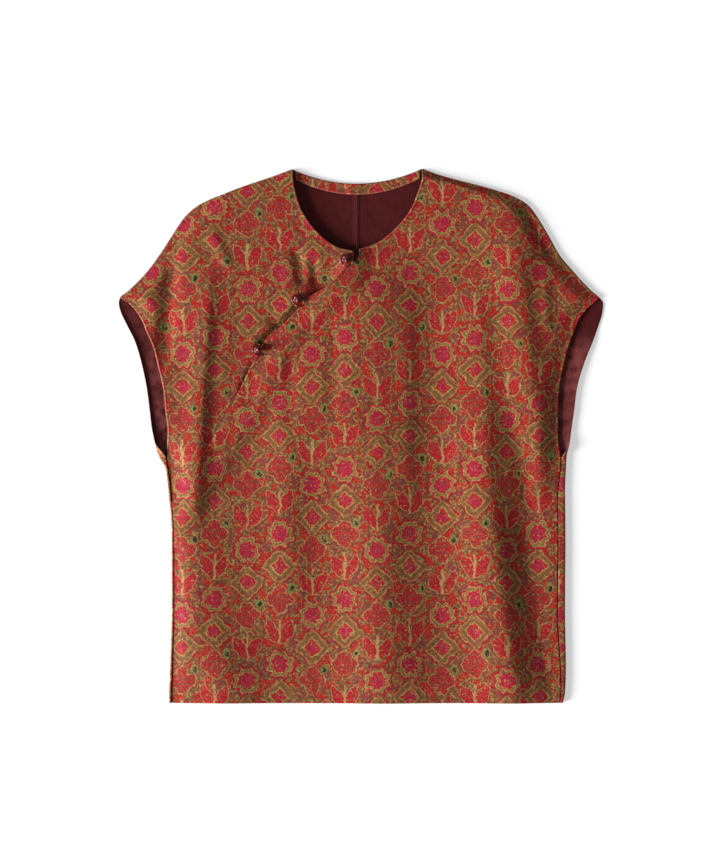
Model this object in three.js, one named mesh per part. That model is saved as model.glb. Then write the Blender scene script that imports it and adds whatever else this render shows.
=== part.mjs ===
// Collarless qipao top, laid flat with its front up. Millimetres: X to the right as seen from above,
// Y towards the neck, Z up from the surface that the back panel lies on.
import * as THREE from "three";
import { mergeVertices } from "three/addons/utils/BufferGeometryUtils.js";

// Cloth, gaps and heights
const WALL = 1.4;
const GAP = 0.3;
const PUFF = 4;
const SEAM_RUN = 30;
const HEM_RUN = 40;
const HEM_SHARE = 0.8;
const LAP_LIFT = 2.8;
const LAP_RUN = 25;
const OPEN_RUN_LEFT = 25;
const OPEN_RUN_RIGHT = 8;
const SEAM_LIFT_RUN = 40;
const PARTING_LIFT = 0.4;

// Lengths along the garment
const NECK_Y = 316;
const HEM_Y = -316;
const TIP_Y = 157;
const UNDERARM_Y = -38;
const FRONT_NECK_Y = 221;
const CLOSURE_END_Y = -77;
const UNDERLAP_END_Y = -112;

// Back neck, centre-back seam and facing
const CENTRE_X = -5.3;
const NECK_HALF = 77;
const NECK_DIP = 17.5;
const DIP_RUN = 80;
const SEAM_BAND = 5;
const SEAM_RISE = 0.8;
const FACING_WALL = 1;
const FACING_DEPTH = 13;
const FACING_ENDS = [-78, 70.8];

// The back's side edge turns up round this radius, to the middle of the cloth
const ROLL = 1.5;
const ARMHOLE_BAND = 7;
// How much of that band is left where it stands upright
const STANDING_SHARE = 0.4;
const SEAM_GAP = 0.5;

// Knot buttons and their loops
const KNOT_RADIUS = 4.8;
const CORD_RADIUS = 0.95;
const LOOP_RADIUS = 6.4;
const LOOP_CLEAR = 3.4;
const LEG = 9;
const LOBE = 0.06;
const KNOT_SQUASH = 0.88;

// Mesh fineness
const MAIN_COLUMNS = 38;
const UNDER_COLUMNS = 20;
const BACK_COLUMNS = 5;
const ROLL_STEPS = 5;
const ROW_STEP = 21;
const ROW_LEAST = 5;
const LOWER_ROW_LEAST = 9;
const CORD_SIDES = 8;

const print = new THREE.MeshStandardMaterial({ color: 0xa8423a, roughness: 0.55, metalness: 0 });
const reverse = new THREE.MeshStandardMaterial({ color: 0x7a2c2e, roughness: 0.6, metalness: 0 });
const cord = new THREE.MeshStandardMaterial({ color: 0x5c0d16, roughness: 0.35, metalness: 0 });

// Turns rows of numbers into objects with the named columns.
function table(names, rows) {
  return rows.map((row) => Object.fromEntries(names.map((name, i) => [name, row[i]])));
}

// The outermost edge of the garment at each level: shoulders, sleeve ends, underarms and sides.
const OUTLINE = table(["y", "left", "right"], [
  [316, -81, 73],
  [308, -102, 96],
  [293.5, -144.5, 150.5],
  [286, -163.5, 174.5],
  [279, -181, 189.5],
  [272, -194, 199],
  [258, -209.5, 209.5],
  [236.5, -224, 222.5],
  [215, -238, 234.5],
  [194, -253.5, 252],
  [172.5, -274.5, 272],
  [163, -285.6, 283],
  [157, -286.8, 286.8],
  [147, -284.5, 286],
  [130, -276.5, 281],
  [113, -268, 275],
  [87, -260, 264.5],
  [56, -253.5, 255.5],
  [29, -250, 252],
  [8, -247.5, 249],
  [-8, -244, 247],
  [-25, -239, 243.3],
  [-38, -231.5, 242.6],
  [-64, -228, 241.5],
  [-117, -224, 242],
  [-206, -224, 241.5],
  [-277, -226, 242.5],
  [-303, -227, 241.5],
  [-316, -227.3, 239],
]);

// The open side edges of the front panels, from the sleeve ends down to the underarms.
const FRONT_SIDES = table(["y", "left", "right"], [
  [163, -284.6, 282],
  [157, -275, 275.5],
  [150, -268, 267.5],
  [137, -259.5, 258],
  [123, -253.5, 252],
  [103, -245, 245],
  [85, -240.5, 240.5],
  [54, -233.5, 234.5],
  [29, -231, 233.2],
  [6, -228.5, 233.2],
  [-18, -229.5, 235.5],
  [-25, -229.5, 236.5],
  [-38, -228.3, 236.2],
]);

// How far the side seams lie inside the outline, below the underarms.
const SEAM_INSET = table(["y", "left", "right"], [
  [-38, 3.2, 6.4],
  [-76, 3.2, 9.3],
  [-206, 3.2, 9.3],
  [-316, 3.2, 4.6],
]);

// Front neckline, on the under front (left) and the main front (right).
const FRONT_NECK = table(["y", "left", "right"], [
  [315, -80.5, 72.2],
  [305, -80.2, 72.2],
  [297, -79.3, 70.4],
  [288.5, -77.5, 67.5],
  [270, -71.5, 60],
  [252.5, -61.3, 47.8],
  [239, -49.5, 34.3],
  [228, -37, 18.7],
  [223, -27.5, 5.5],
  [221, -22.5, -2.4],
]);

// Slanting closure edge of the main front, from the neck to the left side.
const CLOSURE = table(["y", "x"], [
  [221, -2.4],
  [212, -2.4],
  [207, -7.1],
  [203.5, -13.5],
  [188, -28.4],
  [177.5, -39.1],
  [169, -53.3],
  [163, -62.8],
  [142, -81.7],
  [127.5, -95.9],
  [119.5, -107.5],
  [86, -128],
  [52, -144.4],
  [-17, -183.5],
  [-36, -197.8],
  [-53.5, -208.4],
  [-73.5, -218],
  [-77, -222.9],
]);

// Hidden edge of the under front, below the main front.
const UNDERLAP = table(["y", "x"], [
  [221, -22.5],
  [219, -10],
  [212, -7.6],
  [204, -8.6],
  [188, -9],
  [177, -13],
  [163, -34],
  [142, -54],
  [119, -80],
  [86, -100],
  [52, -117],
  [-17, -156],
  [-54, -181],
  [-77, -197],
  [-100, -214],
  [-112, -220],
]);

// How far the back's side edges have turned over, in degrees.
const TURN = table(["y", "left", "right"], [
  [30, 0, 0],
  [8, 15, 0],
  [-8, 90, 35],
  [-18, 145, 115],
  [-28, 180, 180],
  [-316, 180, 180],
]);

// Folds of the front cloth: each runs from one end to the other, bowed sideways in the middle. Its two
// sides have their own widths. A ridge has a positive height, a trough a negative one.
const FOLDS = table(["x0", "y0", "x1", "y1", "bow", "left", "right", "height"], [
  [-176, 225, -197, -140, -2, 20, 10, 4.5],
  [-200, -50, -124, -410, -26, 22, 40, 3],
  [-168, -215, -146, -430, 0, 26, 36, 2.6],
  [-221, 238, -233, 70, 0, 12, 10, -4],
  [-160, 170, -166, 30, 0, 14, 14, 1],
  [-213, -70, -213, -370, 0, 10, 10, 1.2],
  [-90, 40, -84, -250, 0, 26, 26, 3],
  [-88, 150, -84, -60, 0, 30, 60, 2],
  [14, 240, 20, -80, 0, 88, 46, 7],
  [16, 40, 36, -440, -3, 44, 46, 8],
  [54, 200, 54, -110, 0, 14, 12, 1.4],
  [132, 215, 148, -70, 0, 36, 18, 4],
  [139, 70, 204, -440, -10, 38, 22, 7.6],
  [166, 120, 266, -420, -5, 13, 28, -4],
  [172, 300, 214, -120, 1, 36, 22, 6],
]);
const FOLD_FADE = 0.3;

// Where the knots lie, and where the edges part between them.
const KNOTS = table(["name", "x", "y"], [
  ["top", -17.8, 208.2],
  ["middle", -75.2, 160.8],
  ["bottom", -121.4, 101.6],
]);
const PARTINGS = table(["x", "y", "reach", "sag"], [
  [-46, 182, 24, 3],
  [-98, 132, 20, 2],
]);

// Levels where the panels' edges bend most. Along the side seams the panels share theirs.
const SHOULDER_ROWS = OUTLINE.filter((row) => row.y > TIP_Y);
const SEAM_ROWS = [...FRONT_SIDES, ...SEAM_INSET, ...OUTLINE].filter((row) => row.y < 0 && row.y > HEM_Y);

const clamp = (v, low, high) => Math.min(high, Math.max(low, v));

// Rises from 0 at a to 1 at b with level ends.
function smooth(a, b, v) {
  const t = clamp((v - a) / (b - a), 0, 1);
  return t * t * (3 - 2 * t);
}

// Value of a table's column at height y, on a curve through the rows that never overshoots them.
function along(rows, column, y) {
  if (y >= rows[0].y) return rows[0][column];
  const last = rows.length - 1;
  if (y <= rows[last].y) return rows[last][column];
  let i = 0;
  while (rows[i + 1].y > y) i += 1;
  const slope = (k) => (rows[k + 1][column] - rows[k][column]) / (rows[k + 1].y - rows[k].y);
  const tangent = (k) => {
    if (k === 0 || k === last) return slope(k === 0 ? 0 : last - 1);
    const [a, b] = [slope(k - 1), slope(k)];
    return a * b <= 0 ? 0 : (2 * a * b) / (a + b);
  };
  const span = rows[i + 1].y - rows[i].y;
  const t = (y - rows[i].y) / span;
  const bend = t * t * (3 - 2 * t);
  return rows[i][column] * (1 - bend) + rows[i + 1][column] * bend
    + span * (tangent(i) * t * (1 - t) ** 2 - tangent(i + 1) * t * t * (1 - t));
}

// Outer side edge of the front cloth: a little inside the outline along the shoulder, on its own table
// round the armhole, and at the side seam below that.
function frontSide(side, y) {
  const outward = side === "left" ? -1 : 1;
  if (y > FRONT_SIDES[0].y) return along(OUTLINE, side, y) - outward;
  if (y > UNDERARM_Y) return along(FRONT_SIDES, side, y);
  return along(OUTLINE, side, y) - outward * along(SEAM_INSET, side, y);
}

function mainLeft(y) {
  if (y > FRONT_NECK_Y) return along(FRONT_NECK, "right", y);
  return y > CLOSURE_END_Y ? along(CLOSURE, "x", y) : frontSide("left", y);
}

function underRight(y) {
  return y > FRONT_NECK_Y ? along(FRONT_NECK, "left", y) : along(UNDERLAP, "x", y);
}

// Height that the folds add at a place.
function folded(x, y) {
  let sum = 0;
  for (const f of FOLDS) {
    const run = Math.hypot(f.x1 - f.x0, f.y1 - f.y0);
    const [aheadX, aheadY] = [(f.x1 - f.x0) / run, (f.y1 - f.y0) / run];
    const t = ((x - f.x0) * aheadX + (y - f.y0) * aheadY) / run;
    const aside = (y - f.y0) * aheadX - (x - f.x0) * aheadY - f.bow * 4 * t * (1 - t);
    const fade = smooth(0, FOLD_FADE, t) * smooth(0, FOLD_FADE, 1 - t);
    sum += f.height * fade * Math.exp(-((aside / (aside > 0 ? f.right : f.left)) ** 2));
  }
  return sum;
}

// Clear height between the back and the front cloth. Seams hold the front down, and the sleeve ends stand
// open, the left one more than the right.
function rise(x, y) {
  const open = smooth(UNDERARM_Y, UNDERARM_Y + 60, y) * smooth(TIP_Y, TIP_Y - 50, y);
  const near = Math.min(x - frontSide("left", y) + OPEN_RUN_LEFT * open,
    frontSide("right", y) - x + OPEN_RUN_RIGHT * open);
  const hem = HEM_SHARE + (1 - HEM_SHARE) * smooth(0, HEM_RUN, y - HEM_Y);
  return Math.max(0, (PUFF + folded(x, y)) * smooth(0, SEAM_RUN, near) * hem);
}

// The under front sinks where the edges part between two knots, and the main front lifts.
function parting(x, y) {
  return PARTINGS.reduce((sum, p) => sum + p.sag * Math.exp(-(((x - p.x) / p.reach) ** 2)
    - ((y - p.y) / p.reach) ** 2), 0);
}

// The back's rolled right side holds the seam of the main front up.
function seamLift(x, y) {
  const down = smooth(0, UNDERARM_Y, y);
  return down * (2 * ROLL - WALL - GAP + 0.1) * smooth(SEAM_LIFT_RUN, 0, frontSide("right", y) - x);
}

const FRONT_REST = WALL + GAP + WALL / 2;

function underMiddle(x, y) {
  return FRONT_REST + Math.max(0, rise(x, y) - parting(x, y));
}

function mainMiddle(x, y) {
  const past = Math.hypot(Math.max(0, x - underRight(Math.max(y, UNDERLAP_END_Y))),
    Math.max(0, UNDERLAP_END_Y - y));
  const lap = LAP_LIFT * smooth(LAP_RUN, 0, past);
  return FRONT_REST + rise(x, y) + lap + PARTING_LIFT * parting(x, y) + seamLift(x, y);
}

// Levels of a panel's rows: those of its edge tables, with more between them where they are far apart.
function levels(top, bottom, ...tables) {
  const marks = tables.flat().map((row) => row.y).filter((y) => y < top && y > bottom);
  marks.sort((a, b) => b - a);
  const rows = [top];
  for (const y of [...marks, bottom]) {
    const last = rows[rows.length - 1];
    if (last - y < (last > TIP_Y ? ROW_LEAST : LOWER_ROW_LEAST)) {
      if (y === bottom) rows[rows.length - 1] = bottom;
      continue;
    }
    const parts = Math.ceil((last - y) / ROW_STEP);
    for (let k = 1; k <= parts; k += 1) rows.push(last + ((y - last) * k) / parts);
  }
  return rows;
}

// A closed cloth wall from rows of points with a way to thicken each: down to one face, up to the other.
function wall(rows, lower, upper) {
  const [height, width] = [rows.length, rows[0].length];
  const positions = [...rows.flat().map(lower), ...rows.flat().map(upper)].flatMap((p) => p.toArray());
  const at = (face, j, i) => face * height * width + j * width + i;
  const index = [];
  const quad = (a, b, c, d) => index.push(a, b, c, a, c, d);
  for (let j = 0; j < height - 1; j += 1) {
    for (let i = 0; i < width - 1; i += 1) {
      quad(at(1, j, i), at(1, j + 1, i), at(1, j + 1, i + 1), at(1, j, i + 1));
      quad(at(0, j, i), at(0, j, i + 1), at(0, j + 1, i + 1), at(0, j + 1, i));
    }
  }
  for (let j = 0; j < height - 1; j += 1) {
    quad(at(0, j, 0), at(0, j + 1, 0), at(1, j + 1, 0), at(1, j, 0));
    quad(at(0, j + 1, width - 1), at(0, j, width - 1), at(1, j, width - 1), at(1, j + 1, width - 1));
  }
  for (let i = 0; i < width - 1; i += 1) {
    quad(at(0, 0, i + 1), at(0, 0, i), at(1, 0, i), at(1, 0, i + 1));
    quad(at(0, height - 1, i), at(0, height - 1, i + 1), at(1, height - 1, i + 1), at(1, height - 1, i));
  }
  const geometry = new THREE.BufferGeometry();
  geometry.setAttribute("position", new THREE.Float32BufferAttribute(positions, 3));
  geometry.setIndex(index);
  return geometry;
}

// Cloth lying nearly level: the wall is the same thickness straight up everywhere.
function levelWall(rows, thickness) {
  const shift = (p, by) => new THREE.Vector3(p.x, p.y, p.z + by);
  return wall(rows, (p) => shift(p, -thickness / 2), (p) => shift(p, thickness / 2 + (p.extra ?? 0)));
}

// Cloth that turns over: the wall is thickened square to its surface, found from the neighbouring points.
function turnedWall(rows, thickness) {
  rows.forEach((row, j) => row.forEach((p, i) => {
    const across = row[Math.min(i + 1, row.length - 1)].clone().sub(row[Math.max(i - 1, 0)]);
    const down = rows[Math.min(j + 1, rows.length - 1)][i].clone().sub(rows[Math.max(j - 1, 0)][i]);
    p.normal = down.cross(across).normalize();
  }));
  const shift = (p, by) => p.clone().addScaledVector(p.normal, by);
  return wall(rows, (p) => shift(p, -thickness / 2), (p) => shift(p, thickness / 2 + (p.extra ?? 0)));
}

function front(top, bottom, columns, leftOf, rightOf, middle, ...tables) {
  return levelWall(levels(top, bottom, ...tables).map((y) => {
    const [left, right] = [leftOf(y), rightOf(y)];
    return Array.from({ length: columns + 1 }, (_, i) => {
      const x = left + ((right - left) * i) / columns;
      return new THREE.Vector3(x, y, middle(x, y));
    });
  }), WALL);
}

function mainFront() {
  const belowNeck = FRONT_NECK[0].y - 0.6;
  return front(belowNeck, HEM_Y, MAIN_COLUMNS, mainLeft, (y) => frontSide("right", y), mainMiddle,
    SHOULDER_ROWS, CLOSURE, FRONT_NECK, SEAM_ROWS);
}

function underFront() {
  const belowNeck = FRONT_NECK[0].y - 0.6;
  return front(belowNeck, UNDERLAP_END_Y, UNDER_COLUMNS, (y) => frontSide("left", y), underRight,
    underMiddle, SHOULDER_ROWS, UNDERLAP, FRONT_NECK, SEAM_ROWS);
}

// Depth of the back neckline below the neck points.
function dip(x) {
  return NECK_DIP * Math.max(0, 1 - ((x - CENTRE_X) / NECK_HALF) ** 2);
}

// Points of the back's outer edge band at one level, from the flat part outwards, turned up by its angle.
function edgeBand(side, y) {
  const outward = side === "left" ? -1 : 1;
  const turn = THREE.MathUtils.degToRad(along(TURN, side, y));
  const seam = Math.abs(along(OUTLINE, side, y) - frontSide(side, y)) - ROLL - WALL / 2 - SEAM_GAP;
  const band = THREE.MathUtils.lerp(ARMHOLE_BAND, Math.max(0.4, seam), smooth(1.2, Math.PI, turn));
  const flap = band * THREE.MathUtils.lerp(1, STANDING_SHARE, Math.sin(turn));
  const swing = Math.min(turn, Math.PI / 2);
  const reach = ROLL * Math.sin(swing) + flap * Math.cos(swing) + (WALL / 2) * Math.sin(swing);
  const base = along(OUTLINE, side, y) - outward * reach;
  const arcSteps = ROLL_STEPS - 2;
  const points = [];
  for (let k = 0; k <= ROLL_STEPS; k += 1) {
    const bend = turn * Math.min(1, k / arcSteps);
    const run = flap * Math.max(0, (k - arcSteps) / 2);
    const flat = turn < 0.01 ? (flap * k) / ROLL_STEPS : 0;
    const out = flat || ROLL * Math.sin(bend) + run * Math.cos(bend);
    points.push(new THREE.Vector3(base + outward * out, y,
      WALL / 2 + (flat ? 0 : ROLL * (1 - Math.cos(bend)) + run * Math.sin(bend))));
  }
  return points;
}

// One half of the back, from its outer edge to the centre-back seam, whose allowance lies on the left half.
function backHalf(side) {
  const outward = side === "left" ? -1 : 1;
  const seamX = CENTRE_X + (outward * GAP) / 2;
  const band = side === "left" ? [SEAM_BAND + 0.4, SEAM_BAND, 0] : [0];
  const rows = levels(NECK_Y, HEM_Y, OUTLINE, TURN, SEAM_ROWS).map((level) => {
    const sunk = smooth(NECK_Y - DIP_RUN, NECK_Y, level);
    const edge = edgeBand(side, level);
    const inner = seamX + outward * band[0];
    const flat = Array.from({ length: BACK_COLUMNS }, (_, i) => (
      edge[0].x + ((inner - edge[0].x) * (i + 1)) / BACK_COLUMNS));
    const last = band.slice(1).map((from) => seamX + outward * from);
    const row = [...edge.reverse(), ...[...flat, ...last].map((x) => new THREE.Vector3(x, level, WALL / 2))];
    for (const p of row) p.y -= dip(p.x) * sunk;
    for (const p of row.slice(row.length - last.length)) p.extra = last.length ? SEAM_RISE : 0;
    return side === "left" ? row : row.reverse();
  });
  return turnedWall(rows, WALL);
}

// Printed band on the inside of the back neck.
function neckFacing() {
  const columns = 24;
  const steps = [0.6, 0.5 * FACING_DEPTH, FACING_DEPTH];
  const rows = steps.map((drop) => Array.from({ length: columns + 1 }, (_, i) => {
    const x = THREE.MathUtils.lerp(...FACING_ENDS, i / columns);
    const narrow = 1 - 0.2 * ((x - CENTRE_X) / NECK_HALF) ** 2;
    const neck = NECK_Y - dip(x);
    const under = Math.abs(x - CENTRE_X + SEAM_BAND / 2) < 2 * SEAM_BAND ? SEAM_RISE : 0;
    return new THREE.Vector3(x, neck - drop * narrow, WALL + GAP + FACING_WALL / 2 + under);
  }));
  return levelWall(rows, FACING_WALL);
}

// Top of the cloth that lies highest at a place.
function clothTop(x, y) {
  const onMain = x > mainLeft(y) - 1;
  return (onMain ? mainMiddle(x, y) : underMiddle(x, y)) + WALL / 2;
}

function clothTopNear(x, y, reach) {
  const around = Array.from({ length: 12 }, (_, i) => (i * Math.PI) / 6);
  return Math.max(clothTop(x, y), ...around.map((a) => (
    clothTop(x + reach * Math.cos(a), y + reach * Math.sin(a)))));
}

// Level of a knot's centre when the ball just clears the cloth below and beside it.
function knotLevel(knot) {
  const ball = KNOT_RADIUS * (1 + LOBE);
  let level = clothTop(knot.x, knot.y) + ball * KNOT_SQUASH;
  for (const share of [0.3, 0.6, 0.85, 1]) {
    const drop = ball * KNOT_SQUASH * Math.sqrt(1 - share * share);
    level = Math.max(level, clothTopNear(knot.x, knot.y, share * ball) + drop);
  }
  return level + GAP;
}

// Knot of cord: a ball with the low lobes of three crossing turns.
function knotBall(knot) {
  const ball = mergeVertices(new THREE.SphereGeometry(KNOT_RADIUS, 16, 11).deleteAttribute("normal")
    .deleteAttribute("uv"), 1e-3);
  const spots = ball.getAttribute("position");
  const p = new THREE.Vector3();
  for (let i = 0; i < spots.count; i += 1) {
    p.fromBufferAttribute(spots, i);
    const lobes = Math.sin((3 * p.x) / KNOT_RADIUS) * Math.sin((3 * p.y) / KNOT_RADIUS)
      + 0.6 * Math.cos((4 * p.z) / KNOT_RADIUS);
    p.multiplyScalar(1 + (LOBE / 1.6) * lobes);
    p.z *= KNOT_SQUASH;
    spots.setXYZ(i, p.x, p.y, p.z);
  }
  return ball.translate(knot.x, knot.y, knotLevel(knot));
}

// Loop of cord from the closure edge round the neck of its knot.
function knotLoop(knot) {
  const edge = nearestOnClosure(knot);
  const inward = new THREE.Vector2(edge.x - knot.x, edge.y - knot.y).normalize();
  const sideways = new THREE.Vector2(-inward.y, inward.x);
  const place = (ahead, aside) => {
    const x = knot.x + inward.x * ahead + sideways.x * aside;
    const y = knot.y + inward.y * ahead + sideways.y * aside;
    return new THREE.Vector3(x, y, clothTopNear(x, y, LOOP_CLEAR) + GAP + CORD_RADIUS);
  };
  const bow = Array.from({ length: 9 }, (_, i) => {
    const a = Math.PI / 2 + (Math.PI * i) / 8;
    return place(LOOP_RADIUS * Math.cos(a), LOOP_RADIUS * Math.sin(a));
  });
  const leg = (aside) => [place(LEG, aside * 0.5), place(0.5 * LEG, aside * 0.92)];
  const route = new THREE.CatmullRomCurve3([
    ...leg(LOOP_RADIUS), ...bow, ...leg(-LOOP_RADIUS).reverse()]);
  const section = new THREE.Shape().absarc(0, 0, CORD_RADIUS, 0, 2 * Math.PI);
  const tube = new THREE.ExtrudeGeometry(section, { steps: 22, curveSegments: CORD_SIDES / 2, extrudePath: route });
  return mergeVertices(tube.deleteAttribute("normal").deleteAttribute("uv"), 1e-3);
}

function nearestOnClosure(knot) {
  let best = null;
  for (let y = knot.y - 30; y <= knot.y + 12; y += 0.5) {
    const spot = new THREE.Vector2(along(CLOSURE, "x", y), y);
    if (!best || spot.distanceTo(knot) < best.distanceTo(knot)) best = spot;
  }
  return best;
}

function mesh(name, geometry, material) {
  const piece = new THREE.Mesh(geometry, material);
  piece.name = name;
  return piece;
}

const garment = new THREE.Group();
garment.add(
  mesh("back_left", backHalf("left"), reverse),
  mesh("back_right", backHalf("right"), reverse),
  mesh("back_neck_facing", neckFacing(), print),
  mesh("under_front", underFront(), print),
  mesh("main_front", mainFront(), print),
);
for (const knot of KNOTS) {
  garment.add(
    mesh(`knot_${knot.name}`, knotBall(knot), cord),
    mesh(`loop_${knot.name}`, knotLoop(knot), cord),
  );
}

export default garment;
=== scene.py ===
"""Collarless qipao top, laid flat with its front up. X to the right, Y towards the neck, Z up.

Shapes are worked out in millimetres and turned into metres when a mesh is made.
"""
import math

import bpy
import numpy as np
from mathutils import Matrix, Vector


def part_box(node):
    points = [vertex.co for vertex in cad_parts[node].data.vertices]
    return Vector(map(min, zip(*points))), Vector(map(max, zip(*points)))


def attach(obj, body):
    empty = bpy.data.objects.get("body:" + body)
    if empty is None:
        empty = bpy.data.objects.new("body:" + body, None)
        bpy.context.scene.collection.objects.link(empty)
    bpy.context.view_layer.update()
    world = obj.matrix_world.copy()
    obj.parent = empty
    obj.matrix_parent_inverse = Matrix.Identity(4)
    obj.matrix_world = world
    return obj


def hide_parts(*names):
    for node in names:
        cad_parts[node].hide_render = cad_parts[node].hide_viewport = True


MM = 0.001

# Cloth and heights. A run is the length over which a height changes.
CLOTH = 1.0
CLEAR = 0.3  # between a loop and the cloth
PUFF = 4  # clear height of the front, without its folds
SEAM_RUN = 30
HEM_RUN = 40
HEM_SHARE = 0.8  # of the height, left at the hem
LAP_LIFT = 2.8  # of the main front over the under front
LAP_RUN = 25
OPEN_RUN_LEFT = 25  # part of SEAM_RUN that an open sleeve does without
OPEN_RUN_RIGHT = 8
OPENING_RAMPS = (60, 50)  # up from the underarm and down from the sleeve's tip
SEAM_LIFT = 1.4  # of the main front's side seam
SEAM_LIFT_RUN = 40
PARTING_LIFT = 0.4  # of a parting's sag, by which the main front lifts
FRONT_REST = 2.4  # middle of the front's cloth where it lies lowest
MAIN_EDGE_MARGIN = 1  # outside the main front's edge, still counted as on it

# Lengths along the garment
NECK_Y = 316
FRONT_TOP_Y = 314.4
HEM_Y = -316
TIP_Y = 157
UNDERARM_Y = -38
FRONT_NECK_Y = 221
CLOSURE_END_Y = -77
UNDERLAP_END_Y = -112

# Back neck
CENTRE_X = -5.3
NECK_HALF = 77
NECK_DIP = 17.5
DIP_RUN = 80

# Centre-back seam: both halves rise to it, which makes a low ridge
SEAM_HALF_GAP = 0.01
RIDGE = 0.6
RIDGE_RUN = 5
RIDGE_TOP = 0.5
RIDGE_STEPS = np.array([5, 4, 3, 2, 1, 0.5, 0])

# Back neck facing, a little lifted where it crosses the ridge
FACING_CLOTH = 0.8
FACING_LEVEL = 2.1
FACING_TOP = 0.6
FACING_MIDDLE = 6.4
FACING_DEPTH = 13
FACING_ENDS = (-78, 70.8)
FACING_NARROWING = 0.2
FACING_LIFTED = (9.5, 6.5)
# Painted highlight along the facing's lower edge, between these distances from it
FACING_HIGHLIGHT = (1.2, 0.6)

# Side edges of the back. They turn up round a radius and end in a band, as wide as is told along the armholes
# and reaching almost to the front's seam below them. Standing upright, the band keeps a share of its width.
ROLL = 1.5
ARMHOLE_BAND = 7
LEAST_BAND = 0.4  # where the seam lies close to the edge
STANDING_SHARE = 0.4  # of the band's width, left where it stands upright
CURVED_SHARE = 0.4  # of the band, curved at least
SEAM_GAP = 0.5
SEAM_SPACE = 0.7  # room for the cloth that turns over
LEAST_TURN = 0.001  # radians, for a flat edge
BAND_JOINS_SEAM = 1.2  # radians of turn from which the band follows the seam
BAND_ARC = np.linspace(0, 1, 9)
BAND_PAST_ARC = np.array([0.5, 0.8, 0.92, 1.0])

# Turned edges: the edge is rounded, and its allowance makes a low bead. A sewn edge counts as far away, so
# that it has none.
ROUNDING = 0.8
BEAD = 0.35
BEAD_WIDTH = 2.2
BEAD_SOFT = 0.8
BEAD_ENDS_Y = (20, 60)
UNDER_BEAD_END = (14, 8)
ARMHOLE_FADE = 4
# Painted highlight: a pale colour mixed into the print within this width of the free edges, and its share
# along the main front's neck
HIGHLIGHT_WIDTH = 1.0
HIGHLIGHT_SOFT = 0.4
MAIN_NECK_HIGHLIGHT = 0.45
MAIN_HIGHLIGHT_ENDS_Y = (190, 220)
FAR = 50

# Knot buttons: a cord that swings to and fro as it passes round a core
KNOT_MIDDLE = 3.6  # from the knot's centre to the middle of its cord
KNOT_ROUNDS = 3
KNOT_SWINGS = 4
KNOT_WEAVE = 0.6  # how far the cord goes over and under itself
KNOT_REACH = 1.05  # radians that the cord swings to each side
KNOT_SQUASH = 0.9  # of the height
KNOT_CORD = 1.4  # radius
KNOT_POINTS = 150
CORE = 3.3
CORE_SIDES = 16
CORE_RINGS = 7

# Loops: a half circle round the knot, and two legs whose places are told ahead of the knot and aside from it
CORD_RADIUS = 0.95
CORD_TIP = 0.35  # of the radius, left at a loop's ends
CORD_SIDES = 10
CORD_START = (0.3, 0.2, 1)  # a direction in which no cord starts
LOOP_RADIUS = 6.4
LOOP_CLEAR = 3.4  # how far round itself a loop clears the cloth
LOOP_LEG = ((9, 3.2), (4.5, 5.888))
LOOP_POINTS = 9
LOOP_PARTS = 6  # between each two points of a loop
RING_POINTS = 12  # where the cloth's top is looked up around a place

# How far below and above a knot the nearest place of the closure is looked for, and in what steps
CLOSURE_SEARCH = (30, 12, 0.5)

# Mesh fineness. Rows lie closer where an edge runs across them, down to a limit.
GRID = 3.3
EDGE_STEPS = np.array([0, 0.1, 0.3, 0.8, 1.5, 2.3, 3.4])
EDGE_SHARE = 0.4  # of a narrow panel's width, taken by the steps at each edge at most
FINE_STEP = 0.25
STEEPEST = 6
LEAN_LIMIT = 5
LEAN_SPAN = 0.6
BACK_COLUMNS = 60
BACK_FILL_END = 6.5  # from the centre-back seam
FACING_COLUMNS = 90
UNROLLED_HALF = 300
UNROLLED_COLUMNS = 200

# Print
CELL = 41
PRINT_SCALE = 0.94
WOBBLE = 8
WOBBLE_SCALE = 105
PATCH_SCALE = 80
FLECK_SCALE = 300
# Share of the painted highlight colour along turned edges
EDGE_HIGHLIGHT_SHARE = 0.3

# Reverse of the cloth: two noises mottle it
DEEP_SCALE = 90
PALE_SCALE = 95

# Surface of the cloth and the cord
WEAVE_SCALE = 420
WEAVE_DISTORTION = 0.6
WEAVE_SHARE = 0.04
CRUMPLE_SCALE = 48
CRUMPLE_SHARE = 0.9
BUMP_DEPTH = 0.0009
CLOTH_ROUGH = 0.6
PRINT_GLOSS = 0.14
REVERSE_GLOSS = 0.12
CORD_ROUGH = 0.36
CORD_GLOSS = 0.5

# White table, in metres. It glows a little, so that shadows on it stay light.
FLOOR_SIZE = 80
FLOOR_LEVEL = -0.0002
FLOOR_GREY = 0.61
FLOOR_GLOW = 0.45

# Light: a low soft sun from the left, a little from below the picture, and an even white sky
SUN_POWER = 8.9
SUN_WIDTH = 22
SUN_RAYS = (5.5, 1.8, -1.6)
SKY = 0.25

# Camera straight above, in metres but for the lens
CAMERA_PLACE = (-0.0077, 0.0128, 3.0)
LENS = 107.3
SENSOR = 36
FAR_CLIP = 20


def table(names, rows):
    """Named columns of numbers."""
    return dict(zip(names.split(), np.array(rows, float).T))


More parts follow.
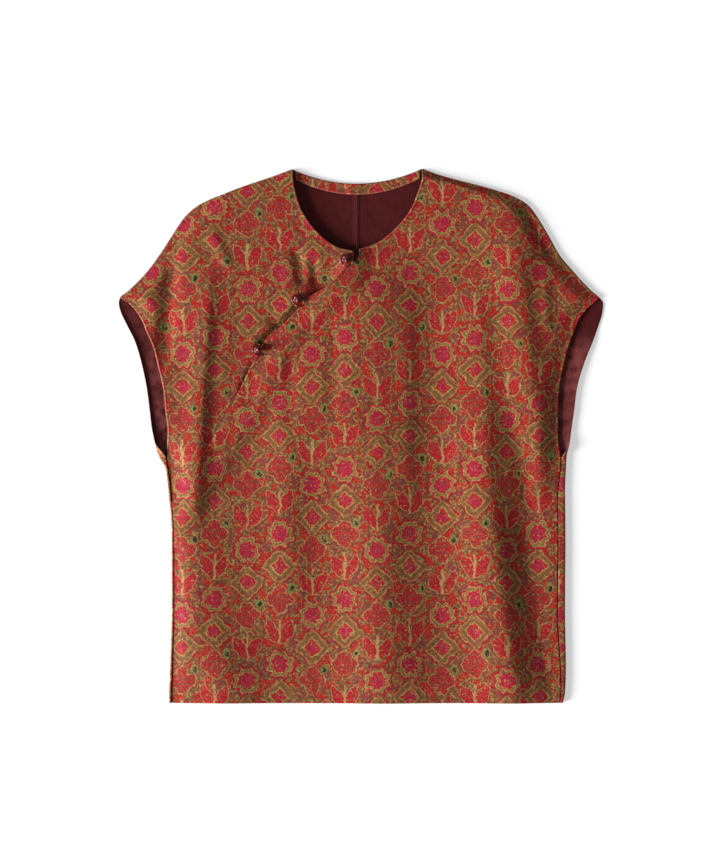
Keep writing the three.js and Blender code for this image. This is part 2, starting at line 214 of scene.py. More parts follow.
# The outermost edge of the garment at each level: shoulders, sleeve ends, underarms and sides
OUTLINE = table("y left right", [
    [316, -81, 73],
    [308, -102, 96],
    [293.5, -144.5, 150.5],
    [286, -163.5, 174.5],
    [279, -181, 189.5],
    [272, -194, 199],
    [258, -209.5, 209.5],
    [236.5, -224, 222.5],
    [215, -238, 234.5],
    [194, -253.5, 252],
    [172.5, -274.5, 272],
    [163, -285.6, 283],
    [157, -286.8, 286.8],
    [147, -284.5, 286],
    [130, -276.5, 281],
    [113, -268, 275],
    [87, -260, 264.5],
    [56, -253.5, 255.5],
    [29, -250, 252],
    [8, -247.5, 249],
    [-8, -244, 247],
    [-25, -239, 243.3],
    [-38, -231.5, 242.6],
    [-64, -228, 241.5],
    [-117, -224, 242],
    [-206, -224, 241.5],
    [-277, -226, 242.5],
    [-303, -227, 241.5],
    [-316, -227.3, 239],
])

# The open side edges of the front panels, from the sleeve ends down to the underarms
FRONT_SIDES = table("y left right", [
    [163, -284.6, 282],
    [157, -275, 275.5],
    [150, -268, 267.5],
    [137, -259.5, 258],
    [123, -253.5, 252],
    [103, -245, 245],
    [85, -240.5, 240.5],
    [54, -233.5, 234.5],
    [29, -231, 233.2],
    [6, -228.5, 233.2],
    [-18, -229.5, 235.5],
    [-25, -229.5, 236.5],
    [-38, -228.3, 236.2],
])

# How far the side seams lie inside the outline, below the underarms
SEAM_INSET = table("y left right", [
    [-38, 3.2, 6.4],
    [-76, 3.2, 9.3],
    [-206, 3.2, 9.3],
    [-316, 3.2, 4.6],
])

# Front neckline, on the under front (left) and the main front (right)
FRONT_NECK = table("y left right", [
    [315, -80.5, 72.2],
    [305, -80.2, 72.2],
    [297, -79.3, 70.4],
    [288.5, -77.5, 67.5],
    [270, -71.5, 60],
    [252.5, -61.3, 47.8],
    [239, -49.5, 34.3],
    [228, -37, 18.7],
    [223, -27.5, 5.5],
    [221, -22.5, -2.4],
])

# Slanting closure edge of the main front, from the neck to the left side
CLOSURE = table("y x", [
    [221, -2.4],
    [212, -2.4],
    [207, -7.1],
    [203.5, -13.5],
    [188, -28.4],
    [177.5, -39.1],
    [169, -53.3],
    [163, -62.8],
    [142, -81.7],
    [127.5, -95.9],
    [119.5, -107.5],
    [86, -128],
    [52, -144.4],
    [-17, -183.5],
    [-36, -197.8],
    [-53.5, -208.4],
    [-73.5, -218],
    [-77, -222.9],
])

# Hidden edge of the under front, below the main front
UNDERLAP = table("y x", [
    [221, -22.5],
    [219, -10],
    [212, -7.6],
    [204, -8.6],
    [188, -9],
    [177, -13],
    [163, -34],
    [142, -54],
    [119, -80],
    [86, -100],
    [52, -117],
    [-17, -156],
    [-54, -181],
    [-77, -197],
    [-100, -214],
    [-112, -220],
])

# How far the back's side edges have turned over, in degrees
TURN = table("y left right", [
    [30, 0, 0],
    [8, 15, 0],
    [-8, 90, 35],
    [-18, 145, 115],
    [-28, 180, 180],
    [-316, 180, 180],
])

# How high the back's open armhole edges curl off the table
CURL = table("y left right", [
    [172, 0, 0],
    [157, 0.9, 0],
    [130, 2, 0.2],
    [102, 2.2, 1.8],
    [60, 2.4, 2.4],
    [10, 2, 2.4],
    [-10, 0.5, 1.2],
    [-25, 0, 0],
])
CURL_SHARPNESS = {"left": 4.5, "right": 1.4}

# Painted light on the reverse inside the armholes: how much paler it is painted. On the left a strip along
# the edge stays dark as painted shade, and near the right sleeve's tip the reverse is left dark as painted
# shadow. Widths are shares of the way from the front's edge to the armhole's.
ARMHOLE_PAINTED_LIGHT = table("y left right", [
    [172, 0, 0],
    [157, 0.4, 0],
    [130, 0.4, 0],
    [104, 0.5, 0.7],
    [85, 0.9, 0.9],
    [10, 1, 0.75],
    [-20, 0.6, 0.6],
    [-34, 0, 0],
])
# Painted shade: where the strip along the edge starts, as a share of the way out
PAINTED_SHADE_STRIP = {"left": 0.72, "right": 2}
PALE_FROM = (-0.3, 0)
STRIP_SOFT = (0.1, -0.05)

# Folds of the front: each runs from one end to the other, bowed sideways in the middle. Its two sides have
# their own widths. A ridge has a positive height, a trough a negative one.
FOLD_COLUMNS = "x0 y0 x1 y1 bow left right height"
FOLDS = table(FOLD_COLUMNS, [
    [-176, 225, -197, -140, -2, 20, 10, 4.5],
    [-200, -50, -124, -410, -26, 22, 40, 3],
    [-168, -215, -146, -430, 0, 26, 36, 2.6],
    [-221, 238, -233, 70, 0, 12, 10, -4],
    [-160, 170, -166, 30, 0, 14, 14, 1],
    [-213, -70, -213, -370, 0, 10, 10, 1.2],
    [-90, 40, -84, -250, 0, 26, 26, 3],
    [-88, 150, -84, -60, 0, 30, 60, 2],
    [14, 240, 20, -80, 0, 88, 46, 7],
    [16, 40, 36, -440, -3, 44, 46, 8],
    [54, 200, 54, -110, 0, 14, 12, 1.4],
    [132, 215, 148, -70, 0, 36, 18, 4],
    [139, 70, 204, -440, -10, 38, 22, 7.6],
    [166, 120, 266, -420, -5, 13, 28, -4],
    [172, 300, 214, -120, 1, 36, 22, 6],
])
FOLD_FADE = 0.3

# Smaller creases
CREASES = table(FOLD_COLUMNS, [
    [-182, 250, -150, 190, 0, 7, 6, 1.5],
    [-104, 144, -98, 120, 0, 5, 5, -1.4],
    [-120, 112, -114, 84, 0, 5, 5, -1.2],
    [-86, 130, -84, -10, 2, 8, 8, -0.9],
    [-30, 150, -34, -20, 0, 11, 9, -1.1],
    [-128, 90, -130, 20, 0, 8, 7, -0.9],
    [214, 200, 222, 110, 0, 7, 7, 1.5],
    [-225, -38, -196, -60, 0, 2.5, 2.5, 0.8],
    [-224, -60, -192, -74, 0, 2.5, 2.5, 0.7],
    [236, -46, 206, -58, 0, 3, 3, 0.9],
    [-210, -20, -210, -345, 0, 10, 10, 2],
    [178, -50, 231, -340, 0, 17, 8, -2.7],
    [198, 268, 240, 206, 0, 9, 5, -3],
])

# Troughs of the under front alone: two above the closure and one along its upper parting
UNDER_CREASES = table(FOLD_COLUMNS, [
    [-79, 228, -69, 168, 2, 7, 6, -2.8],
    [-56, 214, -55, 174, 0, 6, 5, -2.4],
    [-18, 204, -66, 164, -2, 12, 9, -3],
])

KNOTS = ("top", "middle", "bottom")

# Where the edges of the closure part between the knots
PARTINGS = table("x y reach sag", [
    [-40, 180, 20, 3.2],
    [-98, 130, 20, 1.4],
])

# Stretches of the closure where the under front dives below the main front's edge. It is deepest a little way
# past that edge, and the dive fades out where it is hidden.
SLITS = table("low high fade depth run", [
    [158, 182, 10, 2.2, 9],
    [102, 164, 8, 4.9, 14],
    [46, 95, 12, 1.8, 6],
])
SLIT_BOTTOM = 3
SLIT_HIDDEN_END = (40, 12)


def each(rows):
    """The rows of a table, one by one, as dictionaries."""
    names = list(rows)
    return [dict(zip(names, values)) for values in zip(*rows.values())]


def smooth(a, b, v):
    """Rises from 0 at a to 1 at b with level ends."""
    t = np.clip((np.asarray(v, float) - a) / (b - a), 0, 1)
    return t * t * (3 - 2 * t)


def along(rows, column, y):
    """Value of a table's column at height y, on a curve through the rows that never overshoots them."""
    down, value = -rows["y"], rows[column]
    at = np.clip(-np.asarray(y, float), down[0], down[-1])
    i = np.clip(np.searchsorted(down, at, side="right") - 1, 0, len(down) - 2)
    span = np.diff(down)
    slope = np.diff(value) / span
    before, after = slope[:-1], slope[1:]
    alike = before * after > 0
    total = np.where(alike, before + after, 1)
    inner = np.where(alike, 2 * before * after / total, 0)
    tangent = np.concatenate([slope[:1], inner, slope[-1:]])
    t = (at - down[i]) / span[i]
    bend = t * t * (3 - 2 * t)
    lean = tangent[i] * t * (1 - t) ** 2 - tangent[i + 1] * t * t * (1 - t)
    return value[i] * (1 - bend) + value[i + 1] * bend + span[i] * lean


def front_side(side, y):
    """Outer side edge of the front cloth, along the shoulder, round the armhole and down the side seam."""
    outward = -1 if side == "left" else 1
    outline = along(OUTLINE, side, y)
    seam = outline - outward * along(SEAM_INSET, side, y)
    lower = np.where(np.asarray(y) > UNDERARM_Y, along(FRONT_SIDES, side, y), seam)
    return np.where(np.asarray(y) > FRONT_SIDES["y"][0], outline - outward, lower)


def main_left(y):
    """The main front's left edge: its neckline, the closure and the left side seam."""
    lower = np.where(np.asarray(y) > CLOSURE_END_Y, along(CLOSURE, "x", y), front_side("left", y))
    return np.where(np.asarray(y) > FRONT_NECK_Y, along(FRONT_NECK, "right", y), lower)


def main_right(y):
    return front_side("right", y)


def under_left(y):
    return front_side("left", y)


def under_right(y):
    """The under front's right edge: its neckline and the hidden edge of the underlap."""
    return np.where(np.asarray(y) > FRONT_NECK_Y, along(FRONT_NECK, "left", y), along(UNDERLAP, "x", y))


def folded(rows, x, y):
    """Height that a table of folds adds at each place."""
    total = np.zeros(np.broadcast(x, y).shape)
    for f in each(rows):
        run = math.hypot(f["x1"] - f["x0"], f["y1"] - f["y0"])
        ahead = ((f["x1"] - f["x0"]) / run, (f["y1"] - f["y0"]) / run)
        t = ((x - f["x0"]) * ahead[0] + (y - f["y0"]) * ahead[1]) / run
        aside = (y - f["y0"]) * ahead[0] - (x - f["x0"]) * ahead[1] - f["bow"] * 4 * t * (1 - t)
        width = np.where(aside > 0, f["right"], f["left"])
        fade = smooth(0, FOLD_FADE, t) * smooth(0, FOLD_FADE, 1 - t)
        total += f["height"] * fade * np.exp(-((aside / width) ** 2))
    return total


def rise(x, y):
    """Clear height between the back and the front. Seams hold it down, and the sleeve ends stand open."""
    lower, upper = OPENING_RAMPS
    opening = smooth(UNDERARM_Y, UNDERARM_Y + lower, y) * smooth(TIP_Y, TIP_Y - upper, y)
    near = np.minimum(x - front_side("left", y) + OPEN_RUN_LEFT * opening,
                      front_side("right", y) - x + OPEN_RUN_RIGHT * opening)
    hem = HEM_SHARE + (1 - HEM_SHARE) * smooth(0, HEM_RUN, y - HEM_Y)
    return np.maximum(0, (PUFF + folded(FOLDS, x, y)) * smooth(0, SEAM_RUN, near) * hem)


def parting(x, y):
    """The under front sinks where the edges part between two knots, and the main front lifts."""
    return sum(p["sag"] * np.exp(-((x - p["x"]) / p["reach"]) ** 2 - ((y - p["y"]) / p["reach"]) ** 2)
               for p in each(PARTINGS))


def slit(x, y):
    """How far the under front dives towards and below the main front's edge."""
    past = x - main_left(y)
    total = 0
    for s in each(SLITS):
        stretch = smooth(s["low"], s["low"] + s["fade"], y) * smooth(s["high"], s["high"] - s["fade"], y)
        total = total + s["depth"] * stretch * smooth(-s["run"], SLIT_BOTTOM, past)
    return total * smooth(*SLIT_HIDDEN_END, past)


def seam_lift(x, y):
    """The back's rolled right side holds the seam of the main front up."""
    return SEAM_LIFT * smooth(0, UNDERARM_Y, y) * smooth(SEAM_LIFT_RUN, 0, front_side("right", y) - x)


def under_middle(x, y):
    """Height of the middle of the under front's cloth."""
    creased = folded(CREASES, x, y) + folded(UNDER_CREASES, x, y)
    return FRONT_REST + np.maximum(0, rise(x, y) - parting(x, y) - slit(x, y) + creased)


def main_middle(x, y):
    """Height of the middle of the main front's cloth, lifted where it laps over the under front."""
    past = np.hypot(np.maximum(0, x - under_right(np.maximum(y, UNDERLAP_END_Y))),
                    np.maximum(0, UNDERLAP_END_Y - y))
    lap = LAP_LIFT * smooth(LAP_RUN, 0, past)
    lifted = lap + PARTING_LIFT * parting(x, y) + seam_lift(x, y)
    return FRONT_REST + np.maximum(0, rise(x, y) + folded(CREASES, x, y)) + lifted


def levels(top, bottom, *edges):
    """Heights of a panel's rows, closer where an edge runs across and closest at both ends."""
    margin = EDGE_STEPS[-1]
    fine = np.arange(top - margin, bottom + margin, -FINE_STEP)
    pace = np.ones_like(fine)
    for edge in edges:
        pace = np.maximum(pace, np.minimum(STEEPEST, np.hypot(1, np.gradient(edge(fine), fine))))
    run = np.concatenate([[0], np.cumsum((pace[1:] + pace[:-1]) / 2 * FINE_STEP)])
    inner = np.interp(np.linspace(0, run[-1], int(run[-1] / GRID) + 1), run, fine)
    return np.concatenate([top - EDGE_STEPS[:-1], inner, (bottom + EDGE_STEPS[:-1])[::-1]])


def leaning(edge, y):
    """How much longer a level step from the edge is than the square distance from it."""
    slope = (edge(y + LEAN_SPAN) - edge(y - LEAN_SPAN)) / (2 * LEAN_SPAN)
    return np.minimum(LEAN_LIMIT, np.hypot(1, slope))


def panel_places(top, bottom, left_of, right_of):
    """Places of a panel's points, and their distances from its left and right edges and its ends."""
    y = levels(top, bottom, left_of, right_of)[:, None]
    left, right = left_of(y), right_of(y)
    lean_left, lean_right = leaning(left_of, y), leaning(right_of, y)
    room = EDGE_SHARE * (right - left) / EDGE_STEPS[-1]
    near = EDGE_STEPS[None, :] * np.minimum(lean_left, room)
    far = EDGE_STEPS[None, ::-1] * np.minimum(lean_right, room)
    count = int((right - left).max() / GRID)
    share = np.linspace(0, 1, count + 1)[None, 1:-1]
    first, last = left + near[:, -1:], right - far[:, :1]
    x = np.concatenate([left + near, first + (last - first) * share, right - far], axis=1)
    y = np.broadcast_to(y, x.shape)
    return x, y, (x - left) / lean_left, (right - x) / lean_right, np.minimum(top - y, y - bottom)


def thickness(distance, cloth=CLOTH):
    """The cloth's thickness at a distance from its edge, which is rounded."""
    return cloth * np.sqrt(1 - (1 - np.clip(distance / ROUNDING, 0, 1)) ** 2)


def developed(x, y, middle):
    """Place along the width of the cloth before it was folded."""
    half = UNROLLED_COLUMNS
    across = np.linspace(-UNROLLED_HALF, UNROLLED_HALF, 2 * half + 1)[None, :]
    level = middle(across, y[:, :1])
    extra = np.hypot(np.diff(across), np.diff(level)) - np.diff(across)
    stretch = np.concatenate([np.zeros((len(y), 1)), np.cumsum(extra, axis=1)], axis=1)
    stretch -= stretch[:, half:half + 1]
    return x + np.array([np.interp(a, across[0], s) for a, s in zip(x, stretch)])


def shell(name, upper, lower, places, edge, outside_up=True):
    """A closed cloth from its two faces, whose borders are shared. The outer face has the first material."""
    height, width = upper.shape[:2]
    top = np.arange(height * width).reshape(height, width)
    bottom = top.copy()
    bottom[1:-1, 1:-1] = height * width + np.arange((height - 2) * (width - 2)).reshape(height - 2, -1)
    points = np.concatenate([upper.reshape(-1, 3), lower[1:-1, 1:-1].reshape(-1, 3)])
    spots = np.concatenate([places.reshape(-1, 2), places[1:-1, 1:-1].reshape(-1, 2)])
    painted_light_marks = np.concatenate([edge.reshape(-1), edge[1:-1, 1:-1].reshape(-1)])

    def quads(grid):
        return np.stack([grid[:-1, :-1], grid[1:, :-1], grid[1:, 1:], grid[:-1, 1:]], axis=-1).reshape(-1, 4)

    faces = np.concatenate([quads(top), quads(bottom)[:, ::-1]])
    obj = mesh_object(name, points, faces)
    side = np.repeat([0, 1] if outside_up else [1, 0], len(faces) // 2)
    obj.data.polygons.foreach_set("material_index", side.astype(np.int32))
    uv = obj.data.uv_layers.new(name="cloth")
    uv.data.foreach_set("uv", (spots * MM)[faces.reshape(-1)].reshape(-1).astype(np.float32))
    # Share of painted light at each point: a highlight along turned edges, a paler reverse inside the
    # armholes
    mark = obj.data.attributes.new("edge", "FLOAT", "POINT")
    mark.data.foreach_set("value", painted_light_marks.astype(np.float32))
    return obj


def mesh_object(name, points, faces):
    """A smooth mesh in the scene, from points in millimetres."""
    mesh = bpy.data.meshes.new(name)
    faces = faces.tolist() if isinstance(faces, np.ndarray) else faces
    mesh.from_pydata((np.asarray(points) * MM).tolist(), [], faces)
    mesh.polygons.foreach_set("use_smooth", [True] * len(mesh.polygons))
    mesh.update()
    obj = bpy.data.objects.new(name, mesh)
    bpy.context.scene.collection.objects.link(obj)
    return obj


def front_panel(name, top, bottom, left_of, right_of, middle, free_left, free_right, pale):
    """A front panel on its rounded form, with a low bead along its free edges, and a painted highlight along
    them where told.
    """
    x, y, from_left, from_right, from_end = panel_places(top, bottom, left_of, right_of)
    level = middle(x, y)
    distance = np.minimum(np.minimum(from_left, from_right), from_end)
    half = thickness(distance) / 2
    near_free = np.minimum(from_left + FAR * (1 - free_left(y)), from_right + FAR * (1 - free_right(y)))
    bead = BEAD * smooth(BEAD_WIDTH + BEAD_SOFT, BEAD_WIDTH - BEAD_SOFT, near_free)
    bead = bead * smooth(0, ROUNDING, distance)
    upper = np.stack([x, y, level + half + bead], axis=-1)
    lower = np.stack([x, y, level - half], axis=-1)
    # Painted highlight along the free edges
    edge = smooth(HIGHLIGHT_WIDTH + HIGHLIGHT_SOFT, HIGHLIGHT_WIDTH - HIGHLIGHT_SOFT, near_free) * pale(y)
    places = np.stack([developed(x, y, middle), y], axis=-1)
    return shell(name, upper, lower, places, edge), places


def armhole(y):
    """1 along the open sleeve edge and 0 above and below it."""
    lower = smooth(UNDERARM_Y - ARMHOLE_FADE, UNDERARM_Y + ARMHOLE_FADE, y)
    return lower * smooth(TIP_Y + 2 * ARMHOLE_FADE, TIP_Y, y)


def main_front():
    """The panel on top, with its beads along the closure, the neck and the open armhole."""
    return front_panel(
        "cloth_main_front", FRONT_TOP_Y, HEM_Y, main_left, main_right, main_middle,
        free_left=lambda y: smooth(*BEAD_ENDS_Y, y),
        free_right=armhole,
        # Painted highlight along the neck only
        pale=lambda y: MAIN_NECK_HIGHLIGHT * smooth(*MAIN_HIGHLIGHT_ENDS_Y, y))


def under_front():
    """The small panel below the closure, with its beads along the armhole and the neck."""
    return front_panel(
        "cloth_under_front", FRONT_TOP_Y, UNDERLAP_END_Y, under_left, under_right, under_middle,
        free_left=armhole,
        free_right=lambda y: smooth(*UNDER_BEAD_END, FRONT_NECK_Y - y),
        # Painted highlight along all its free edges
        pale=np.ones_like)


def dip(x):
    """Depth of the back neckline below the neck points."""
    return NECK_DIP * np.maximum(0, 1 - ((x - CENTRE_X) / NECK_HALF) ** 2)


def edge_band(side, y):
    """Places and levels of the back's outer edge band at one height, from its flat part outwards."""
    outward = -1 if side == "left" else 1
    turn = max(LEAST_TURN, math.radians(float(along(TURN, side, y))))
    outline = float(along(OUTLINE, side, y))
    seam = abs(outline - float(front_side(side, y))) - ROLL - SEAM_SPACE - SEAM_GAP
    joined = float(smooth(BAND_JOINS_SEAM, math.pi, turn))
    band = ARMHOLE_BAND + (max(LEAST_BAND, seam) - ARMHOLE_BAND) * joined
    flap = band * (1 - (1 - STANDING_SHARE) * math.sin(turn))
    curved = max(ROLL * turn, CURVED_SHARE * flap)
    radius = curved / turn
    angle = turn * BAND_ARC
    past = (ROLL * turn + flap - curved) * BAND_PAST_ARC
    out = np.concatenate([radius * np.sin(angle), radius * math.sin(turn) + past * math.cos(turn)])
    up = np.concatenate([radius * (1 - np.cos(angle)), radius * (1 - math.cos(turn)) + past * math.sin(turn)])
    base = outline - outward * (out.max() + CLOTH / 2 * math.sin(min(turn, math.pi / 2)))
    length = np.concatenate([curved * BAND_ARC, curved + past])
    return base + outward * out, CLOTH / 2 + up, base + outward * length


def curl(side, x, y):
    """How far the back's cloth rises towards its open armhole edge."""
    inner, outer = float(front_side(side, y)), float(along(OUTLINE, side, y))
    share = np.clip((x - inner) / (outer - inner), 0, 1)
    return float(along(CURL, side, y)) * share ** CURL_SHARPNESS[side]


def painted_light_share(side, x, y):
    """Share of painted light on the reverse of the back, from the front's edge out to the armhole's, with
    painted shade left in the dark strip.
    """
    inner, outer = float(front_side(side, y)), float(along(OUTLINE, side, y))
    share = (x - inner) / (outer - inner)
    before_strip = smooth(*STRIP_SOFT, share - PAINTED_SHADE_STRIP[side])
    return float(along(ARMHOLE_PAINTED_LIGHT, side, y)) * smooth(*PALE_FROM, share) * before_strip


def back_half(side):
    """One half of the back, from its outer edge to the centre-back seam."""
    outward = -1 if side == "left" else 1
    inner = CENTRE_X + outward * SEAM_HALF_GAP
    ridge = RIDGE * smooth(RIDGE_RUN, RIDGE_TOP, RIDGE_STEPS)
    rows = []
    for level in levels(NECK_Y, HEM_Y, lambda y: along(OUTLINE, side, y)):
        across, up, flat = edge_band(side, level)
        fill = np.linspace(across[0], inner + outward * BACK_FILL_END, BACK_COLUMNS)[1:]
        last = inner + outward * RIDGE_STEPS
        sunk = float(smooth(NECK_Y - DIP_RUN, NECK_Y, level))
        x = np.concatenate([across[::-1], fill, last])
        z = np.concatenate([up[::-1], np.full(len(fill) + len(last), CLOTH / 2)]) + curl(side, x, level)
        u = np.concatenate([flat[::-1], fill, last])
        extra = np.concatenate([np.zeros(len(across) + len(fill)), ridge])
        pale = painted_light_share(side, x, level)
        rows.append(np.stack([x, level - dip(x) * sunk, z, u, extra, pale], axis=-1))
    grid = np.array(rows)
    if side == "right":
        grid = grid[:, ::-1]
    return turned_shell(f"cloth_back_{side}", grid, side == "left")


def turned_shell(name, grid, seam_last):
    """A cloth that turns over, thickened square to itself, and rounded at all edges but the seam.

    The grid holds x, y, z, width, extra rise and the share of painted light.
    """
    points = grid[..., :3]
    across = np.gradient(points, axis=1)
    down = np.gradient(points, axis=0)
    normal = np.cross(down, across)
    normal /= np.linalg.norm(normal, axis=-1, keepdims=True)
    step = np.linalg.norm(np.diff(points, axis=1), axis=-1)
    run = np.concatenate([np.zeros((len(step), 1)), np.cumsum(step, axis=1)], axis=1)
    fall = np.linalg.norm(np.diff(points, axis=0), axis=-1)
    drop = np.concatenate([np.zeros((1, fall.shape[1])), np.cumsum(fall, axis=0)], axis=0)
    from_edge = run if seam_last else run[:, -1:] - run
    distance = np.minimum(from_edge, np.minimum(drop, drop[-1:] - drop))
    half = thickness(distance)[..., None] / 2
    extra = grid[..., 4:5] * np.clip(half / (CLOTH / 2), 0, 1)
    places = np.stack([grid[..., 3], grid[..., 1]], axis=-1)
    return shell(name, points + normal * (half + extra), points - normal * half, places, grid[..., 5],
                 outside_up=False), places


def neck_facing():
    """Printed band on the inside of the back neck."""
    x = np.linspace(*FACING_ENDS, FACING_COLUMNS)[None, :]
    deep = FACING_DEPTH - FACING_TOP
    drop = FACING_TOP + np.concatenate([EDGE_STEPS, [FACING_MIDDLE], deep - EDGE_STEPS[::-1]])[:, None]
    narrow = 1 - FACING_NARROWING * ((x - CENTRE_X) / NECK_HALF) ** 2
    y = NECK_Y - dip(x) - drop * narrow
    x = np.broadcast_to(x, y.shape)
    from_ridge = np.abs(x - CENTRE_X + RIDGE_RUN / 2)
    level = FACING_LEVEL + RIDGE * smooth(*FACING_LIFTED, from_ridge)
    distance = np.minimum(np.minimum(drop - FACING_TOP, FACING_DEPTH - drop) + 0 * x,
                          np.minimum(x - FACING_ENDS[0], FACING_ENDS[1] - x))
    half = thickness(distance, FACING_CLOTH) / 2
    places = np.stack([x, y], axis=-1)
    # Painted highlight along the facing's lower edge
    edge = smooth(*FACING_HIGHLIGHT, FACING_DEPTH - drop) * np.ones_like(x)
    return shell("cloth_neck_facing", np.stack([x, y, level + half], axis=-1),
                 np.stack([x, y, level - half], axis=-1), places, edge), places


def cloth_top(x, y):
    """Top of the cloth that lies highest at a place."""
    on_main = x > main_left(y) - MAIN_EDGE_MARGIN
    return np.where(on_main, main_middle(x, y), under_middle(x, y)) + CLOTH / 2


def cloth_top_near(x, y, reach):
    """Highest top of the cloth at a place and on a ring round it."""
    around = np.arange(RING_POINTS) * 2 * math.pi / RING_POINTS
    ring = cloth_top(x + reach * np.cos(around), y + reach * np.sin(around))
    return max(float(cloth_top(np.array(x), np.array(y))), float(ring.max()))


def tube(path, radius, closed=False):
    """A round cord along a path of points."""
    sides = CORD_SIDES
    path = np.asarray(path, float)
    if closed:
        ahead = np.roll(path, -1, axis=0) - np.roll(path, 1, axis=0)
    else:
        ahead = np.gradient(path, axis=0)
    ahead /= np.linalg.norm(ahead, axis=1, keepdims=True)
    side = np.cross(ahead[0], CORD_START)
    frames = []
    for direction in ahead:
        side = side - direction * side.dot(direction)
        side /= np.linalg.norm(side)
        frames.append((side, np.cross(direction, side)))
    turn = np.arange(sides) * 2 * math.pi / sides
    size = np.full(len(path), radius)
    if not closed:
        size[0] = size[-1] = radius * CORD_TIP
    rings = np.array([p + r * (np.outer(np.cos(turn), a) + np.outer(np.sin(turn), b))
                      for p, r, (a, b) in zip(path, size, frames)])
    count = len(path)
    faces = []
    for j in range(count if closed else count - 1):
        k = (j + 1) % count
        faces += [[j * sides + i, j * sides + (i + 1) % sides, k * sides + (i + 1) % sides, k * sides + i]
                  for i in range(sides)]
    if not closed:
        faces += [list(range(sides))[::-1], [(count - 1) * sides + i for i in range(sides)]]
    return rings.reshape(-1, 3), faces


def knot_frame(name):
    """Centre of a knot, and the level directions towards and along the closure edge beside it."""
    low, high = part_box(f"knot_{name}")
    centre = np.array((low + high) / 2) / MM
    below, above, step = CLOSURE_SEARCH
    y = np.arange(centre[1] - below, centre[1] + above, step)
    edge = np.stack([along(CLOSURE, "x", y), y], axis=-1)
    nearest = edge[np.argmin(np.hypot(*(edge - centre[:2]).T))]
    inward = nearest - centre[:2]
    inward /= np.hypot(*inward)
    return centre, inward, np.array([-inward[1], inward[0]])


def knot(name):
    """A ball knot: one cord passes several times round a core, going over and under itself."""
    centre, inward, sideways = knot_frame(name)
    t = np.linspace(0, 2 * math.pi * KNOT_ROUNDS, KNOT_POINTS, endpoint=False)
    swing = KNOT_SWINGS * t / KNOT_ROUNDS
    latitude = KNOT_REACH * np.sin(swing)
    radius = KNOT_MIDDLE + KNOT_WEAVE * np.sin(2 * swing)
    out = radius * np.cos(latitude)
    aside, up = out * np.cos(t), out * np.sin(t)
    ahead = radius * np.sin(latitude)
    path = centre + np.stack([inward[0] * ahead + sideways[0] * aside,
                              inward[1] * ahead + sideways[1] * aside, up * KNOT_SQUASH], axis=-1)
    points, faces = tube(path, KNOT_CORD, closed=True)
    core, caps = ball(CORE, len(points))
    return mesh_object(f"cord_knot_{name}", np.concatenate([points, centre + core]), faces + caps)


def ball(radius, first):
    """Points and faces of a ball, whose points are numbered from first on."""
    sides = CORE_SIDES
    ring = np.arange(sides) * 2 * math.pi / sides
    points = [[0, 0, -radius]]
    for polar in np.linspace(0, math.pi, CORE_RINGS + 2)[1:-1]:
        points += [[radius * math.sin(polar) * math.cos(a), radius * math.sin(polar) * math.sin(a),
                    -radius * math.cos(polar)] for a in ring]
    points = np.array(points + [[0, 0, radius]])
    pairs = [(i, (i + 1) % sides) for i in range(sides)]
    base = first + 1
    faces = [[first, base + j, base + i] for i, j in pairs]
    for _ in range(CORE_RINGS - 1):
        faces += [[base + i, base + j, base + sides + j, base + sides + i] for i, j in pairs]
        base += sides
    faces += [[base + i, base + j, first + len(points) - 1] for i, j in pairs]
    return points, faces


def loop(name):
    """A loop of cord from the closure edge round the neck of its knot."""
    centre, inward, sideways = knot_frame(name)

    def place(ahead, aside):
        x, y = centre[:2] + inward * ahead + sideways * aside
        return [x, y, cloth_top_near(x, y, LOOP_CLEAR) + CLEAR + CORD_RADIUS]

    turn = np.linspace(math.pi / 2, 3 * math.pi / 2, LOOP_POINTS)
    bow = [place(LOOP_RADIUS * math.cos(a), LOOP_RADIUS * math.sin(a)) for a in turn]
    first = [place(ahead, aside) for ahead, aside in LOOP_LEG]
    last = [place(ahead, -aside) for ahead, aside in LOOP_LEG[::-1]]
    route = rounded(first + bow + last, LOOP_PARTS)
    return mesh_object(f"cord_loop_{name}", *tube(route, CORD_RADIUS))


def rounded(route, parts):
    """A smooth path through points, with some parts between each two."""
    route = np.asarray(route, float)
    ends = np.concatenate([[2 * route[0] - route[1]], route, [2 * route[-1] - route[-2]]])
    path = []
    for a, b, c, d in zip(ends, ends[1:], ends[2:], ends[3:]):
        for t in np.arange(parts) / parts:
            path.append(0.5 * (2 * b + (c - a) * t + (2 * a - 5 * b + 4 * c - d) * t ** 2
                               + (3 * b - a - 3 * c + d) * t ** 3))
    return path + [route[-1]]


def linear(red, green, blue):
    """A screen colour from 0 to 255, as the shader wants it."""
    parts = [c / 255 for c in (red, green, blue)]
    return tuple(c / 12.92 if c <= 0.04045 else ((c + 0.055) / 1.055) ** 2.4 for c in parts) + (1,)


CRIMSON = linear(168, 22, 38)
SCARLET = linear(168, 32, 26)
MAGENTA = linear(166, 28, 58)
OLIVE = linear(122, 96, 44)
TAN = linear(172, 138, 84)
MAUVE = linear(130, 56, 50)
GREEN = linear(118, 128, 66)
DARK = linear(28, 34, 24)
UMBER = linear(84, 48, 28)
# Painted highlight colour of the turned edges
EDGE_HIGHLIGHT = linear(200, 130, 110)
REVERSE = linear(80, 22, 22)
REVERSE_DEEP = linear(64, 15, 17)
# Painted light on the reverse inside the armholes
REVERSE_LIT = linear(122, 60, 58)
FLECK = linear(60, 30, 30)
CORD = linear(98, 18, 22)

